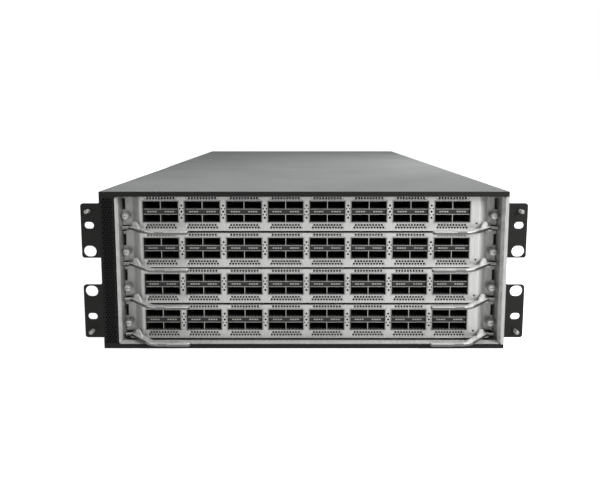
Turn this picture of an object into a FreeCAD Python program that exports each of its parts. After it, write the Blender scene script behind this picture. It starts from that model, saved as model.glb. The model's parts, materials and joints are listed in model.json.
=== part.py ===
import FreeCAD
import Part
import math
import os

Vector = FreeCAD.Vector

# Driving dimensions in millimetres. X runs to the right of the front, Y to the back, Z up.

# Two points nearer than this are one
same_place = 1e-4

# Chassis
chassis_width = 442.0
chassis_depth = 760.0
tray_sheet = 1.5
tray_lip = 12.0
cover_sheet = 1.2

# Trim round the front opening
trim_sheet = 1.5
top_trim_height = 5.5
bottom_trim_height = 4.5
column_width = 16.6
column_return = 10.0
right_rim = 3.3
recess = 13.0

# Rack ears, measured up and down from the middle of the chassis
ear_sheet = 2.0
ear_reach = 20.3
slot_edge = 8.75
ear_depth = 38.0
ear_height = 59.8
ear_rise = 44.9
ear_corner = 3.0
rack_slot_rise = 50.8
rack_slot_width = 7.4
rack_slot_length = 10.6
oval_rise = 22.225
oval_width = 12.0
oval_length = 14.0
stud_rise = 66.7
stud_radius = 2.25
stud_length = 8.0
stud_sides = 8

# Card places
card_count = 4
card_pitch = 41.0
card_gap = 1.6
bay_margin = 0.5
side_gap = 0.6
slide_gap = 0.3

# Card faceplate
group_count = 8
window_width = 39.4
window_height = 25.4
window_floor = 9.6
face_sheet = 1.5
face_left_margin = 2.2
face_right_margin = 9.9
bend_run = 13.3
flange_setback = 12.0
flange_width = 10.4
notch_width = 3.0
notch_floor = 23.0
notch_height = 13.0

# Port cages, two columns and two rows in each block
cage_gap = 0.2
cage_wall = 0.7
cage_proud = 0.5
cage_depth = 42.0
port_web = 6.2
connector_depth = 8.0

# Card floor and circuit board
card_floor_rise = 1.2
card_floor_sheet = 1.2
card_floor_inset = 2.0
card_depth = 300.0
board_sheet = 2.0
board_inset = 1.5
board_setback = 1.0
standoff_radius = 3.5
standoff_sides = 6
standoff_columns = 2
standoff_rows = 2
standoff_inset = 30.0
plug_count = 3
plug_width = 80.0
plug_height = 14.0
plug_depth = 16.0
plug_overhang = 4.0

# Ejector levers
lever_sheet = 3.0
lever_width = 7.0
lever_span = 69.0
lever_reach = 13.0
lever_slant = 45.0
lever_bend = 10.0
lever_gap = 0.3
lever_tip = 2.2
pivot_inset = 10.8
pivot_setback = 6.0
pivot_radius = 2.0
pivot_sides = 8
hinge_tab_width = 10.0
pivot_fit = 0.1
hinge_tab_rise = 0.4
hinge_tab_sheet = 1.2
claw_length = 9.5
claw_width = 4.0
claw_angle = 15.0

# Captive thumbscrews
screw_inset = 5.2
screw_rise = 16.6
knob_radius = 4.2
knob_length = 9.0
knob_sides = 12
knob_gap = 0.3
shank_radius = 2.4
shank_sides = 8
shank_end = 3.0
screw_fit = 0.15

# Guide walls of the card bay
guide_sheet = 1.2
ledge_sheet = 1.2
ledge_width = 36.0
screw_tab_sheet = 2.0
screw_tab_size = 12.0
catch_sheet = 1.5
catch_width = 8.0
catch_height = 3.5

# Inner boards
midplane_sheet = 3.0
midplane_window_height = 15.0
midplane_window_inset = 12.0
switch_board_sheet = 3.0
switch_board_inset = 40.0
shelf_tongue = 20.0
heatsink_size = 110.0
heatsink_base = 6.0
heatsink_height = 60.0
fin_sheet = 2.0
fin_count = 10

# Rear bay
divider_sheet = 1.2
psu_count = 4
psu_height = 39.0
psu_depth = 230.0
inlet_width = 27.0
inlet_height = 20.0
inlet_depth = 16.0
inlet_inset = 10.0
pin_width = 2.0
pin_height = 6.0
pin_pitch = 7.0
pin_length = 11.0
fan_count = 3
fan_depth = 60.0
fan_shell = 2.0
fan_radius = 56.0
hub_radius = 20.0
hub_length = 26.0
blade_count = 7
blade_sheet = 2.0
blade_chord = 24.0
blade_angle = 38.0
axle_radius = 3.0
axle_fit = 0.1
axle_sides = 12
motor_size = 36.0
motor_length = 12.0
guard_slot = 9.0
guard_bar = 4.5
guard_rows = 8
module_corner = 2.5
handle_bar = 5.0
handle_width = 9.0
handle_reach = 22.0
handle_corner = 2.5
psu_handle_height = 31.0
psu_handle_inset = 9.0
fan_handle_height = 80.0
fan_handle_inset = 10.0

# Worked out from the values above
card_height = card_pitch - card_gap
bay_width = chassis_width - column_width - right_rim
card_width = bay_width - 2 * side_gap
face_flat = card_width - 2 * (bend_run + flange_width)
group_run = face_flat - face_left_margin - window_width - face_right_margin
group_pitch = group_run / (group_count - 1)
bay_height = card_count * card_pitch + 2 * bay_margin
chassis_height = bottom_trim_height + bay_height + top_trim_height
rack_width = chassis_width + 2 * ear_reach
rack_hole_span = rack_width - 2 * slot_edge
left_x = -chassis_width / 2
right_x = chassis_width / 2
middle_z = chassis_height / 2
front_y = lever_reach - (lever_reach + chassis_depth + handle_reach) / 2
rear_y = front_y + chassis_depth
inside_y = front_y + trim_sheet
face_y = front_y + recess
face_back_y = face_y + face_sheet
flange_y = face_y + flange_setback
flange_back_y = flange_y + face_sheet
bay_left = left_x + column_width
bay_right = right_x - right_rim
bay_floor = bottom_trim_height
bay_top = chassis_height - top_trim_height
card_left = bay_left + side_gap
card_right = bay_right - side_gap
card_middle = (card_left + card_right) / 2
flat_left = card_left + flange_width + bend_run
flat_right = card_right - flange_width - bend_run
first_group_x = flat_left + face_left_margin + window_width / 2
cover_z = chassis_height - cover_sheet
lip_z = cover_z - tray_sheet
cage_width = window_width - 2 * cage_gap
cage_height = window_height - 2 * cage_gap
cage_y = face_y - cage_proud
cage_back_y = cage_y + cage_depth
board_top = window_floor + cage_gap
port_height = (cage_height - port_web - 2 * cage_wall) / 2
card_back_y = face_back_y + card_depth
lever_floor = hinge_tab_rise + hinge_tab_sheet + lever_gap
pivot_x = card_left + pivot_inset
pivot_y = face_y + pivot_setback
screw_x = card_left + screw_inset
screw_tab_y = flange_back_y + slide_gap
ledge_y = flange_back_y + slide_gap
ledge_rise = card_floor_rise - slide_gap - ledge_sheet
midplane_y = card_back_y + slide_gap
switch_y = midplane_y + midplane_sheet
psu_floor = tray_sheet + slide_gap
shelf_z = psu_floor + psu_height + slide_gap
fan_floor = shelf_z + divider_sheet + slide_gap
fan_height = lip_z - slide_gap - fan_floor
rear_width = chassis_width - 2 * tray_sheet
fan_pitch = (rear_width + divider_sheet) / fan_count
fan_width = fan_pitch - divider_sheet - 2 * slide_gap
psu_pitch = (rear_width + divider_sheet) / psu_count
psu_width = psu_pitch - divider_sheet - 2 * slide_gap


# Small shape helpers

def block(x0, x1, y0, y1, z0, z1):
    return Part.makeBox(x1 - x0, y1 - y0, z1 - z0, Vector(x0, y0, z0))


def rod(x, z, radius, y0, y1):
    return Part.makeCylinder(radius, y1 - y0, Vector(x, y0, z), Vector(0, 1, 0))


def prism(points, height):
    """Upright prism on a closed outline in the XY plane."""
    outline = Part.makePolygon(points + points[:1])
    return Part.Face(outline).extrude(Vector(0, 0, height))


def polygon_rod(x, z, radius, sides, y0, y1):
    """Rod along Y with a regular polygon as its section."""
    turns = [2 * math.pi * i / sides for i in range(sides)]
    points = [Vector(x + radius * math.cos(t), y0, z + radius * math.sin(t)) for t in turns]
    return Part.Face(Part.makePolygon(points + points[:1])).extrude(Vector(0, y1 - y0, 0))


def polygon_hole(x, z, radius, sides, y0, y1):
    """Cutter along Y that leaves a circle of the given radius free."""
    return polygon_rod(x, z, radius / math.cos(math.pi / sides), sides, y0, y1)


def polygon_post(x, y, radius, sides, z0, z1):
    turns = [2 * math.pi * i / sides for i in range(sides)]
    post = prism([Vector(x + radius * math.cos(t), y + radius * math.sin(t)) for t in turns], z1 - z0)
    post.translate(Vector(0, 0, z0))
    return post


def slot_cutter(x, z, length, width, y0, y1):
    """Slot along X with round ends, cut along Y."""
    reach = (length - width) / 2
    radius = width / 2
    middle = block(x - reach, x + reach, y0, y1, z - radius, z + radius)
    return middle.fuse([rod(x - reach, z, radius, y0, y1), rod(x + reach, z, radius, y0, y1)]).removeSplitter()


def folded(points, width, bends, height):
    """Strip of constant width along a line of plan points, extruded up. Each inner point has its bend radius."""
    ways = [(b - a).normalize() for a, b in zip(points, points[1:])]
    normals = [Vector(-way.y, way.x, 0) for way in ways]
    sides = {1: [], -1: []}
    corners = []
    for i, (point, bend) in enumerate(zip(points, [0] + bends + [0])):
        before = normals[max(i - 1, 0)]
        after = normals[min(i, len(normals) - 1)]
        mitre = (before + after) * (width / 2 / (1 + before.dot(after)))
        turn = before.x * after.y - before.y * after.x
        for side in sides:
            corner = point + mitre * side
            sides[side].append(corner)
            if bend:
                corners.append((corner, bend if turn * side > 0 else bend + width))
    solid = prism(sides[1] + sides[-1][::-1], height)
    for corner, radius in corners:
        solid = solid.makeFillet(radius, [e for e in solid.Edges if upright_at(e, corner)])
    return solid


def upright_at(edge, corner):
    return all(math.hypot(v.X - corner.x, v.Y - corner.y) < same_place for v in edge.Vertexes)


def chamfer_upright(solid, corners, size):
    edges = [e for e in solid.Edges if any(upright_at(e, c) for c in corners)]
    return solid.makeChamfer(size, edges)


def stand_along_y(solid, y_end):
    """Turn a plan shape upright: its plan y becomes Z and its height runs forward from y_end."""
    solid.rotate(Vector(0, 0, 0), Vector(1, 0, 0), 90)
    solid.translate(Vector(0, y_end, 0))
    return solid


def stand_along_x(solid, x):
    """Turn a plan shape upright: plan x becomes Y, plan y becomes Z and its height runs along X."""
    solid.rotate(Vector(0, 0, 0), Vector(1, 1, 1), 120)
    solid.translate(Vector(x, 0, 0))
    return solid


def mirrored(shape, x):
    return shape.mirror(Vector(x, 0, 0), Vector(1, 0, 0))


def save(name, *solids):
    shape = solids[0] if len(solids) == 1 else Part.makeCompound(list(solids))
    shape.exportStep("parts/" + name + ".step")


def card_floor_z(number):
    """Underside of a card's faceplate; card 1 is the top one."""
    return bay_floor + bay_margin + (card_count - number) * card_pitch + card_gap / 2


def group_x(index):
    return first_group_x + index * group_pitch


# Chassis sheets

def chassis_tray():
    wall = tray_sheet / 2
    lip = lip_z + wall
    points = [
        Vector(left_x + tray_lip, lip),
        Vector(left_x + wall, lip),
        Vector(left_x + wall, wall),
        Vector(right_x - wall, wall),
        Vector(right_x - wall, lip),
        Vector(right_x - tray_lip, lip),
    ]
    tray = stand_along_y(folded(points, tray_sheet, [0, 0, 0, 0], rear_y - inside_y), rear_y)
    hem = block(bay_left, bay_right, inside_y, inside_y + tray_sheet, 0, bay_floor)
    sill = block(bay_left, bay_right, inside_y, face_y, bay_floor - tray_sheet, bay_floor)
    return tray.fuse([hem, sill]).removeSplitter()


def top_cover():
    return block(left_x, right_x, inside_y, rear_y, cover_z, chassis_height)


def top_trim():
    bar = block(left_x, right_x, front_y, inside_y, bay_top, chassis_height)
    roof = block(bay_left, bay_right, inside_y, face_y, bay_top, bay_top + trim_sheet)
    return bar.fuse(roof).removeSplitter()


def bottom_trim():
    return block(left_x, right_x, front_y, inside_y, 0, bottom_trim_height)


def vent_column():
    front = block(left_x, bay_left, front_y, inside_y, bay_floor, bay_top)
    outer_x = left_x + tray_sheet
    inner_x = bay_left - guide_sheet
    back_y = inside_y + column_return
    outer = block(outer_x, outer_x + trim_sheet, inside_y, back_y, bay_floor, bay_top)
    inner = block(inner_x - trim_sheet, inner_x, inside_y, back_y, bay_floor, bay_top)
    return front.fuse([outer, inner]).removeSplitter()


# Card bay: a wall with a ledge, a screw tab and a lever catch for each card

def guide_fittings(number):
    """Left-hand ledge, screw tab and lever catch of one card place."""
    floor = card_floor_z(number)
    ledge_z = floor + ledge_rise
    ledge_top = ledge_z + ledge_sheet
    ledge = block(bay_left, bay_left + ledge_width, ledge_y, midplane_y, ledge_z, ledge_top)
    screw_z = floor + screw_rise
    half = screw_tab_size / 2
    tab_back = screw_tab_y + screw_tab_sheet
    tab = block(bay_left, bay_left + screw_tab_size, screw_tab_y, tab_back, screw_z - half, screw_z + half)
    tab = tab.cut(polygon_hole(screw_x, screw_z, shank_radius + screw_fit, shank_sides, screw_tab_y, tab_back))
    catch_y = pivot_y + math.hypot(claw_length, claw_width / 2) + slide_gap
    catch_x = pivot_x - catch_width / 2
    catch = block(catch_x, catch_x + catch_width, catch_y, catch_y + catch_sheet,
                  ledge_top, ledge_top + catch_height)
    return [ledge, tab, catch]


def guide_walls():
    left = block(bay_left - guide_sheet, bay_left, inside_y, midplane_y, tray_sheet, lip_z)
    right = block(bay_right, bay_right + guide_sheet, inside_y, midplane_y, tray_sheet, lip_z)
    rim = block(bay_right, right_x, front_y, inside_y, bay_floor, bay_top)
    fittings = [f for number in range(1, card_count + 1) for f in guide_fittings(number)]
    save("left_guide_wall", left, *fittings)
    save("right_guide_wall", right.fuse(rim).removeSplitter(), *[mirrored(f, card_middle) for f in fittings])


# Rack ears

def left_upper_ear():
    floor = middle_z + ear_rise - ear_height / 2
    edge_x = -rack_width / 2
    wall = ear_sheet / 2
    points = [
        Vector(edge_x, front_y + wall),
        Vector(left_x - wall, front_y + wall),
        Vector(left_x - wall, front_y + ear_depth),
    ]
    ear = folded(points, ear_sheet, [0], ear_height)
    corners = [e for e in ear.Edges if e.BoundBox.XMax < edge_x + same_place and e.BoundBox.ZLength < same_place]
    ear = ear.makeFillet(ear_corner, corners)
    ear.translate(Vector(0, 0, floor))
    x = -rack_hole_span / 2
    back_y = front_y + ear_sheet
    slot = slot_cutter(x, middle_z + rack_slot_rise, rack_slot_length, rack_slot_width, front_y, back_y)
    oval = slot_cutter(x, middle_z + oval_rise, oval_length, oval_width, front_y, back_y)
    return ear.cut([slot, oval])


def rack_ears():
    upper = left_upper_ear()
    lower = upper.mirror(Vector(0, 0, middle_z), Vector(0, 0, 1))
    save("left_upper_ear", upper)
    save("left_lower_ear", lower)
    save("right_upper_ear", mirrored(upper, 0))
    save("right_lower_ear", mirrored(lower, 0))
    places = [(side * rack_hole_span / 2, middle_z + way * stud_rise) for side in (-1, 1) for way in (-1, 1)]
    tip_y = front_y - stud_length
    save("ear_studs", *[polygon_rod(x, z, stud_radius, stud_sides, tip_y, front_y) for x, z in places])


# Line cards

def faceplate(number):
    floor = card_floor_z(number)
    half = face_sheet / 2
    points = [
        Vector(card_left, flange_y + half),
        Vector(card_left + flange_width, flange_y + half),
        Vector(flat_left, face_y + half),
        Vector(flat_right, face_y + half),
        Vector(card_right - flange_width, flange_y + half),
        Vector(card_right, flange_y + half),
    ]
    sheet = folded(points, face_sheet, [0, 0, 0, 0], card_height)
    sheet.translate(Vector(0, 0, floor))
    side = window_width / 2
    low = floor + window_floor
    windows = [block(group_x(i) - side, group_x(i) + side, face_y, face_back_y, low, low + window_height)
               for i in range(group_count)]
    tab = hinge_tab(floor)
    cutters = flange_cutters(floor)
    sheet = sheet.cut(windows + cutters + [mirrored(c, card_middle) for c in cutters])
    return sheet.fuse([tab, mirrored(tab, card_middle)]).removeSplitter()


def hinge_tab(floor):
    """Left-hand tab under the lever, bent forward from the flange, with the lever's post."""
    low = floor + hinge_tab_rise
    top = low + hinge_tab_sheet
    half = hinge_tab_width / 2
    tab = block(pivot_x - half, pivot_x + half, pivot_y - half, flange_y + face_sheet / 2, low, top)
    post = polygon_post(pivot_x, pivot_y, pivot_radius, pivot_sides, top, top + lever_gap + lever_sheet)
    return tab.fuse(post)


def flange_cutters(floor):
    """Left-hand thumbscrew hole, edge notch and the slot that the lever's claw swings through."""
    hole = rod(screw_x, floor + screw_rise, shank_radius + screw_fit, flange_y, flange_back_y)
    notch = block(card_left, card_left + notch_width, flange_y, flange_back_y,
                  floor + notch_floor, floor + notch_floor + notch_height)
    slot_x = pivot_x + claw_width / 2 + slide_gap
    slot_z = floor + lever_floor - lever_gap
    slot = block(card_left, slot_x, face_y, flange_back_y, slot_z, slot_z + lever_sheet + 2 * lever_gap)
    return [hole, notch, slot]


def port_block(x, z):
    """Plates of one two-by-two cage."""
    x0 = x - cage_width / 2
    x1 = x + cage_width / 2
    inner_x0 = x0 + cage_wall
    inner_x1 = x1 - cage_wall
    z1 = z + cage_height
    inner_z0 = z + cage_wall
    inner_z1 = z1 - cage_wall
    web_z0 = inner_z0 + port_height
    web_z1 = web_z0 + port_web
    middle0 = x - cage_wall / 2
    middle1 = x + cage_wall / 2
    return [
        block(x0, x1, cage_y, cage_back_y, z, inner_z0),
        block(x0, x1, cage_y, cage_back_y, inner_z1, z1),
        block(x0, inner_x0, cage_y, cage_back_y, inner_z0, inner_z1),
        block(inner_x1, x1, cage_y, cage_back_y, inner_z0, inner_z1),
        block(inner_x0, inner_x1, cage_y, cage_back_y, web_z0, web_z1),
        block(middle0, middle1, cage_y, cage_back_y, inner_z0, web_z0),
        block(middle0, middle1, cage_y, cage_back_y, web_z1, inner_z1),
    ]


def port_cages(number):
    """Eight cages in a row and the connector bar across their backs."""
    z = card_floor_z(number) + board_top
    plates = [plate for i in range(group_count) for plate in port_block(group_x(i), z)]
    x0 = group_x(0) - cage_width / 2
    x1 = group_x(group_count - 1) + cage_width / 2
    return plates + [block(x0, x1, cage_back_y, cage_back_y + connector_depth, z, z + cage_height)]


def card_board(number):
    top = card_floor_z(number) + board_top
    x0 = flat_left + board_inset
    x1 = flat_right - board_inset
    board = block(x0, x1, face_back_y + board_setback, card_back_y - plug_overhang, top - board_sheet, top)
    step = (x1 - x0) / plug_count
    starts = [x0 + step * (i + 0.5) - plug_width / 2 for i in range(plug_count)]
    plugs = [block(x, x + plug_width, card_back_y - plug_depth, card_back_y, top, top + plug_height)
             for x in starts]
    return [board] + plugs


def card_tray(number):
    low = card_floor_z(number) + card_floor_rise
    x0 = flat_left + card_floor_inset
    x1 = flat_right - card_floor_inset
    top = low + card_floor_sheet
    floor = block(x0, x1, face_back_y, card_back_y, low, top)
    board_low = card_floor_z(number) + board_top - board_sheet
    run_x = x1 - x0 - 2 * standoff_inset
    run_y = card_depth - 2 * standoff_inset
    standoffs = []
    for column in range(standoff_columns):
        for row in range(standoff_rows):
            x = x0 + standoff_inset + run_x * column / (standoff_columns - 1)
            y = face_back_y + standoff_inset + run_y * row / (standoff_rows - 1)
            standoffs.append(polygon_post(x, y, standoff_radius, standoff_sides, top, board_low))
    return [floor] + standoffs


def left_lever(number):
    """Flat J-shaped blade that turns on the tab's post, with a short claw behind."""
    blade_y = front_y - lever_reach + lever_width / 2
    slant = math.radians(lever_slant)
    out = Vector(math.sin(slant), -math.cos(slant))
    pivot = Vector(pivot_x, pivot_y)
    corner = pivot + out * ((pivot_y - blade_y) / math.cos(slant))
    tip = Vector(pivot_x + lever_span, blade_y)
    lever = folded([pivot, corner, tip], lever_width, [lever_bend], lever_sheet)
    half = Vector(0, lever_width / 2)
    lever = chamfer_upright(lever, [tip + half, tip - half], lever_tip)
    eye = Part.makeCylinder(lever_width / 2, lever_sheet, pivot)
    claw = block(-claw_length, 0, -claw_width / 2, claw_width / 2, 0, lever_sheet)
    claw.rotate(Vector(0, 0, 0), Vector(0, 0, 1), -claw_angle)
    claw.translate(pivot)
    hole_radius = (pivot_radius + pivot_fit) / math.cos(math.pi / pivot_sides)
    hole = polygon_post(pivot_x, pivot_y, hole_radius, pivot_sides, 0, lever_sheet)
    lever = lever.fuse([eye, claw]).cut(hole).removeSplitter()
    lever.translate(Vector(0, 0, card_floor_z(number) + lever_floor))
    return lever


def left_thumbscrew(number):
    z = card_floor_z(number) + screw_rise
    knob_y = flange_y - knob_gap
    knob = polygon_rod(screw_x, z, knob_radius, knob_sides, knob_y - knob_length, knob_y)
    shank_y = screw_tab_y + screw_tab_sheet + shank_end
    shank = polygon_rod(screw_x, z, shank_radius, shank_sides, knob_y, shank_y)
    return knob.fuse(shank).removeSplitter()


def line_cards():
    for number in range(1, card_count + 1):
        name = "card_%d_" % number
        save(name + "faceplate", faceplate(number))
        save(name + "port_cages", *port_cages(number))
        save(name + "board", *card_board(number))
        save(name + "floor", *card_tray(number))
        lever = left_lever(number)
        save(name + "left_lever", lever)
        save(name + "right_lever", mirrored(lever, card_middle))
        screw = left_thumbscrew(number)
        save(name + "left_thumbscrew", screw)
        save(name + "right_thumbscrew", mirrored(screw, card_middle))


# Boards behind the cards

def midplane():
    x0 = left_x + tray_sheet
    x1 = right_x - tray_sheet
    board = block(x0, x1, midplane_y, switch_y, tray_sheet, lip_z)
    tops = [card_floor_z(n) + card_height - card_gap for n in range(1, card_count + 1)]
    windows = [block(bay_left + midplane_window_inset, bay_right - midplane_window_inset, midplane_y, switch_y,
                     top - midplane_window_height, top) for top in tops]
    return board.cut(windows)


def switch_board():
    z = shelf_z + divider_sheet
    inset = switch_board_inset
    return block(left_x + inset, right_x - inset, switch_y, rear_y - psu_depth, z, z + switch_board_sheet)


def heatsink():
    half = heatsink_size / 2
    middle_y = (switch_y + rear_y - psu_depth) / 2
    z = shelf_z + divider_sheet + switch_board_sheet
    base = block(-half, half, middle_y - half, middle_y + half, z, z + heatsink_base)
    pitch = (heatsink_size - fin_sheet) / (fin_count - 1)
    fins = [block(-half + i * pitch, -half + i * pitch + fin_sheet, middle_y - half, middle_y + half,
                  z + heatsink_base, z + heatsink_height) for i in range(fin_count)]
    return base.fuse(fins).removeSplitter()


# Rear bay

def rear_bay_frame():
    x0 = left_x + tray_sheet
    x1 = right_x - tray_sheet
    shelf_top = shelf_z + divider_sheet
    solids = [block(x0, x1, rear_y - psu_depth - shelf_tongue, rear_y, shelf_z, shelf_top)]
    for i in range(1, psu_count):
        x = x0 + i * psu_pitch - divider_sheet
        solids.append(block(x, x + divider_sheet, rear_y - psu_depth, rear_y, tray_sheet, shelf_z))
    for i in range(1, fan_count):
        x = x0 + i * fan_pitch - divider_sheet
        solids.append(block(x, x + divider_sheet, rear_y - fan_depth, rear_y, shelf_top, cover_z))
    return solids


def module_case(x0, width, depth, z0, height):
    """Box at the rear face with its four long edges cut off to pass the tray's bends."""
    case = block(x0, x0 + width, rear_y - depth, rear_y, z0, z0 + height)
    return case.makeChamfer(module_corner, [e for e in case.Edges if e.BoundBox.YLength > depth / 2])


def pull_handle(x, middle, height):
    """Loop that stands out from the rear face."""
    low = middle - height / 2 + handle_bar / 2
    high = middle + height / 2 - handle_bar / 2
    out_y = rear_y + handle_reach - handle_bar / 2
    points = [Vector(rear_y, low), Vector(out_y, low), Vector(out_y, high), Vector(rear_y, high)]
    loop = folded(points, handle_bar, [0, 0], handle_width)
    half = handle_bar / 2
    outer = [Vector(out_y + half, low - half), Vector(out_y + half, high + half)]
    return stand_along_x(chamfer_upright(loop, outer, handle_corner), x)


def power_supply(index):
    x0 = left_x + tray_sheet + slide_gap + index * psu_pitch
    middle = psu_floor + psu_height / 2
    case = module_case(x0, psu_width, psu_depth, psu_floor, psu_height)
    inlet_x = x0 + inlet_inset
    floor_y = rear_y - inlet_depth
    inlet = block(inlet_x, inlet_x + inlet_width, floor_y, rear_y,
                  middle - inlet_height / 2, middle + inlet_height / 2)
    centre_x = inlet_x + inlet_width / 2
    pins = []
    for i in (-1, 0, 1):
        x = centre_x + i * pin_pitch
        pins.append(block(x - pin_width / 2, x + pin_width / 2, floor_y, floor_y + pin_length,
                          middle - pin_height / 2, middle + pin_height / 2))
    case = case.cut(inlet).fuse(pins).removeSplitter()
    handle_x = x0 + psu_width - psu_handle_inset - handle_width
    return [case, pull_handle(handle_x, middle, psu_handle_height)]


def fan_centre(index):
    x = left_x + tray_sheet + slide_gap + index * fan_pitch + fan_width / 2
    return x, fan_floor + fan_height / 2


def fan_module(index):
    x, z = fan_centre(index)
    x0 = x - fan_width / 2
    case = module_case(x0, fan_width, fan_depth, fan_floor, fan_height)
    guard_y = rear_y - fan_shell
    hollow = block(x0 + fan_shell, x0 + fan_width - fan_shell, rear_y - fan_depth, guard_y,
                   fan_floor + fan_shell, fan_floor + fan_height - fan_shell)
    slots = []
    for row in range(guard_rows):
        rise = (row - (guard_rows - 1) / 2) * (guard_slot + guard_bar)
        reach = math.sqrt(fan_radius ** 2 - (abs(rise) + guard_slot / 2) ** 2)
        slots.append(block(x - reach, x + reach, guard_y, rear_y,
                           z + rise - guard_slot / 2, z + rise + guard_slot / 2))
    half = motor_size / 2
    motor_y = guard_y - motor_length
    motor = block(x - half, x + half, motor_y, guard_y, z - half, z + half)
    axle = polygon_rod(x, z, axle_radius, axle_sides, motor_y - hub_length, motor_y)
    case = case.cut([hollow] + slots).fuse([motor, axle]).removeSplitter()
    handle_x = x0 + fan_width - fan_handle_inset - handle_width
    return [case, pull_handle(handle_x, z, fan_handle_height)]


def fan_rotor(index):
    """Hub with flat pitched blades and a bore for the motor's axle."""
    x, z = fan_centre(index)
    back_y = rear_y - fan_shell - motor_length - slide_gap
    half = hub_length / 2
    hub = polygon_rod(0, 0, hub_radius, 2 * blade_count, -half, half)
    blades = []
    for i in range(blade_count):
        blade = block(hub_radius - blade_sheet, fan_radius, -blade_chord / 2, blade_chord / 2,
                      -blade_sheet / 2, blade_sheet / 2)
        blade.rotate(Vector(0, 0, 0), Vector(1, 0, 0), blade_angle)
        blade.rotate(Vector(0, 0, 0), Vector(0, 1, 0), 360 * i / blade_count)
        blades.append(blade)
    bore = rod(0, 0, axle_radius + axle_fit, -half, half)
    rotor = hub.fuse(blades).cut(bore).removeSplitter()
    rotor.translate(Vector(x, back_y - half, z))
    return rotor


def main():
    os.makedirs("parts", exist_ok=True)
    save("chassis_tray", chassis_tray())
    save("top_cover", top_cover())
    save("top_trim", top_trim())
    save("bottom_trim", bottom_trim())
    save("vent_column", vent_column())
    guide_walls()
    rack_ears()
    line_cards()
    save("midplane", midplane())
    save("switch_board", switch_board())
    save("heatsink", heatsink())
    save("rear_bay_frame", *rear_bay_frame())
    for index in range(psu_count):
        save("power_supply_%d" % (index + 1), *power_supply(index))
    for index in range(fan_count):
        save("fan_module_%d" % (index + 1), *fan_module(index))
        save("fan_rotor_%d" % (index + 1), fan_rotor(index))


main()
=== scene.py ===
import bmesh
import bpy
import json
import math
from mathutils import Matrix, Vector
from mathutils.geometry import delaunay_2d_cdt


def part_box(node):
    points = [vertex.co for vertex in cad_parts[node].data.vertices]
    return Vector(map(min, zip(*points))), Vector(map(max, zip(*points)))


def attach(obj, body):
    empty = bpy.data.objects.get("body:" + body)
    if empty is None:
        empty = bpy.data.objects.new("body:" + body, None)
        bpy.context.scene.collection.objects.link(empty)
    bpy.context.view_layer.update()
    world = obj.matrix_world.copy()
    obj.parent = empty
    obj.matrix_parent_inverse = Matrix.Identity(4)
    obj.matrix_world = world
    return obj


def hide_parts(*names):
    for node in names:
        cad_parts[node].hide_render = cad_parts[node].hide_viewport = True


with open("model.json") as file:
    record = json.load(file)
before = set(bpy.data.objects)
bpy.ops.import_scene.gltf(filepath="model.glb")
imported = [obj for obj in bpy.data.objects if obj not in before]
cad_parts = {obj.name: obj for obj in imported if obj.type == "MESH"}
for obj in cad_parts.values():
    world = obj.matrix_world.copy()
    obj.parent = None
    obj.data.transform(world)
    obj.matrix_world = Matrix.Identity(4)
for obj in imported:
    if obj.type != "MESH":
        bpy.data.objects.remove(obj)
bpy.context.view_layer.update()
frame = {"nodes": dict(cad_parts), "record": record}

# Sizes are in millimetres until a mesh is made. Places come from the frame's nodes.
# A group of sizes is one tuple, and the function that uses it names its values.
MM = 0.001
CARDS = 4
FANS = 3
POWER_SUPPLIES = 4
FORWARD = (0, -1, 0)
BACKWARD = (0, 1, 0)
UP = (0, 0, 1)


def node_box(node):
    """Lowest and highest corner of a CAD node, in millimetres."""
    return [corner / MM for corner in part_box(node)]


face_low, face_high = node_box("card_1_faceplate")
cage_low, cage_high = node_box("card_1_port_cages")
column_low, column_high = node_box("vent_column")
cover_low, cover_high = node_box("top_cover")
card_step = face_low.z - node_box("card_2_faceplate")[0].z
card_middle = (face_low.x + face_high.x) / 2


# Finishes

NOISE_DETAIL = 4.0
BROAD_SCALE = 11.0
BROAD_SHARE = 0.4
NOISE_LOW = 0.3
NOISE_HIGH = 0.7
GLOSS_SPREAD = 0.06
BUMP_DISTANCE = 0.0004

# Grain in cycles per metre along x, y and z
ROLLED = (260.0, 260.0, 2600.0)
UPRIGHT_GRAIN = (2200.0, 2200.0, 90.0)
LENGTHWISE = (1800.0, 120.0, 1800.0)
SPECKLE = (2600.0, 2600.0, 2600.0)

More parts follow.
